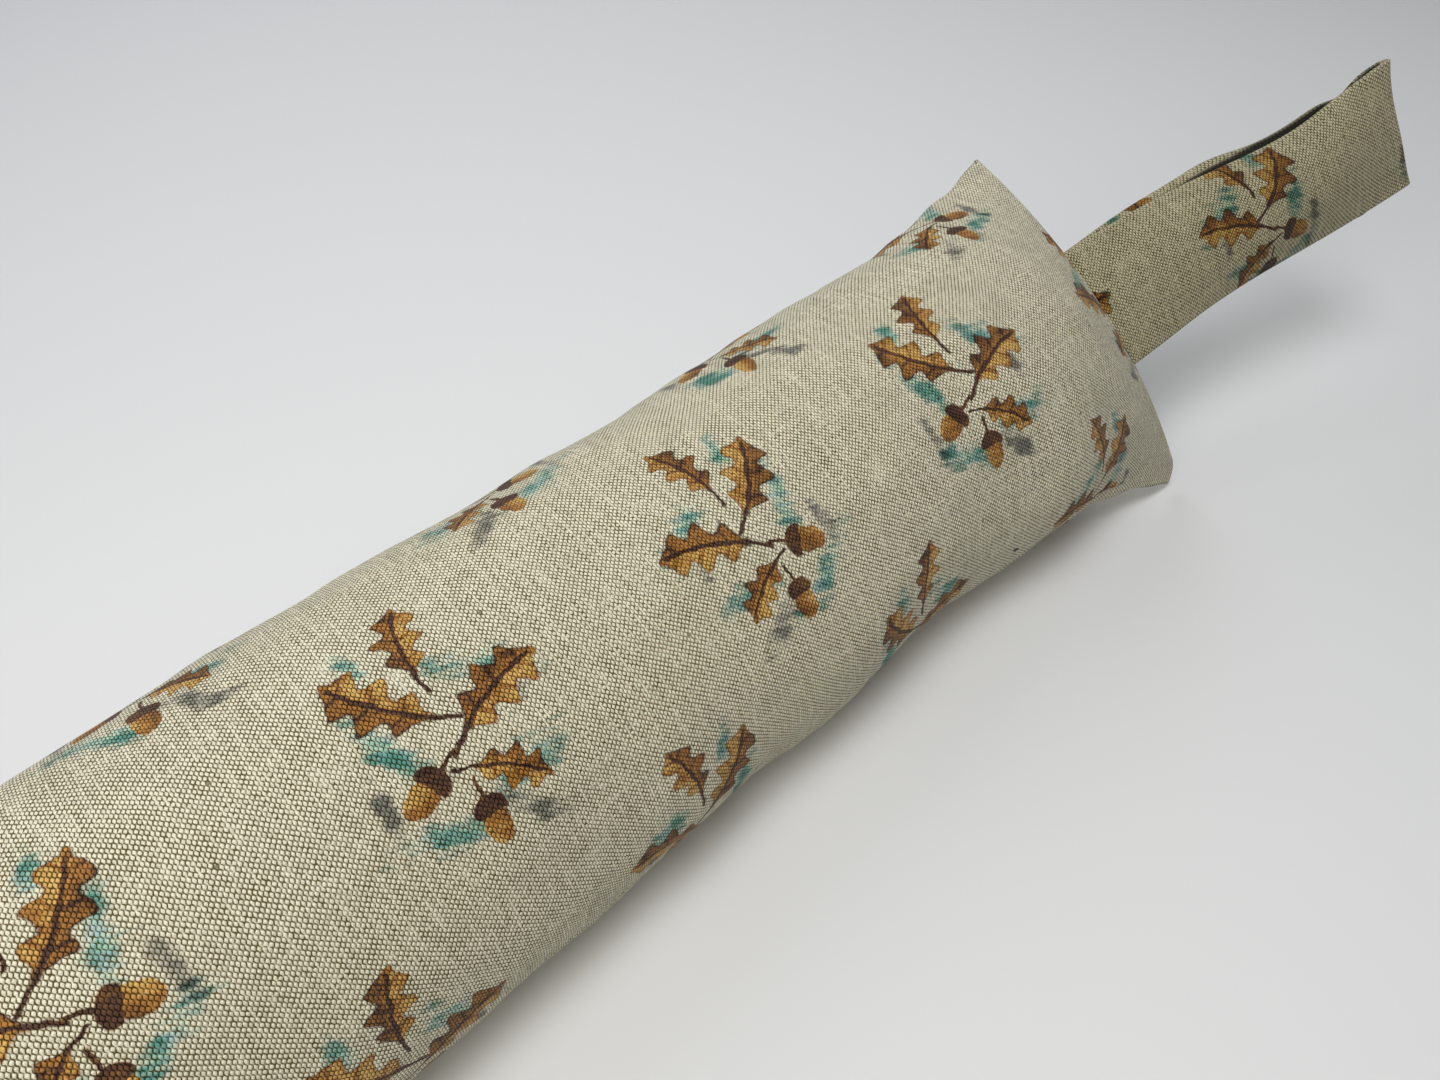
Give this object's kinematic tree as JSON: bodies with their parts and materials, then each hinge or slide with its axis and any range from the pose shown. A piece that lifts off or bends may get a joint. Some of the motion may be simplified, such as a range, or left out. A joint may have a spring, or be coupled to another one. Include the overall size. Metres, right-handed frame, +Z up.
{
  "type": "draught excluder",
  "caption": "Long filled cloth tube that lies along the foot of a door, sewn flat at both ends, with a folded cloth hanging loop in one end seam.",
  "frame": {"origin": "on the surface it lies on, under the middle of the whole part's box", "axes": "+X along the tube towards the hanging loop, +Z up, +Y across the tube towards the upper ear of the loop end"},
  "size_m": [1.0436, 0.1612, 0.1398],
  "materials": {
    "printed_cloth": "matt linen-look weave with a printed leaf design",
    "strap_cloth": "matt linen-look weave, folded strap of the same cloth"
  },
  "bodies": {
    "root": {"body": "printed_cloth", "hanging_loop": "strap_cloth"}
  },
  "joints": []
}
